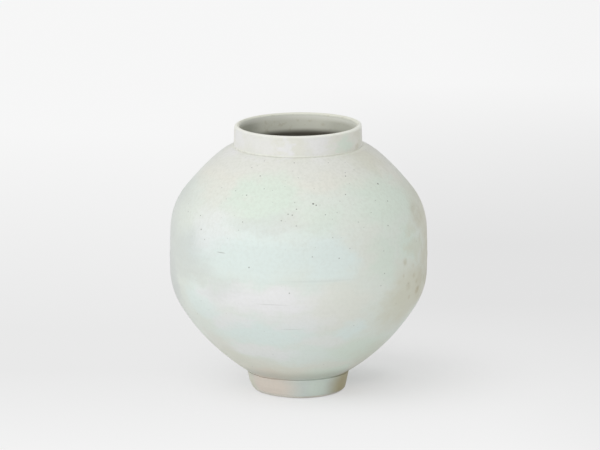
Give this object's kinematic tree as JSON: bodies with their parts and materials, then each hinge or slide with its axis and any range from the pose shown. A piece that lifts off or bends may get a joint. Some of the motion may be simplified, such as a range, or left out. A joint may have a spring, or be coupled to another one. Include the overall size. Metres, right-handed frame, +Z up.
{
  "type": "moon jar",
  "caption": "Round white-glazed porcelain storage jar with a wide belly, short upright collar and narrow foot ring, thrown as upper and lower bowls luted together at the belly.",
  "frame": {"origin": "centre of the foot ring's tread, on the surface the jar stands on", "axes": "+Z up along the jar's axis, -Y towards the viewer of the picture, +X to the viewer's right"},
  "size_m": [0.3999, 0.4, 0.42],
  "materials": {
    "porcelain_clay": "bare fired porcelain, matt",
    "porcelain_slip": "fired porcelain slip, matt",
    "white_glaze": "satin feldspar glaze with a faint blue-green tint"
  },
  "bodies": {
    "root": {"lower_bowl": "porcelain_clay", "upper_bowl": "porcelain_clay", "mouth_collar": "porcelain_clay", "foot_ring": "porcelain_clay", "belly_slip": "porcelain_slip", "collar_slip": "porcelain_slip", "foot_slip": "porcelain_slip", "outer_glaze": "white_glaze", "inner_glaze": "white_glaze", "base_glaze": "white_glaze"}
  },
  "joints": []
}
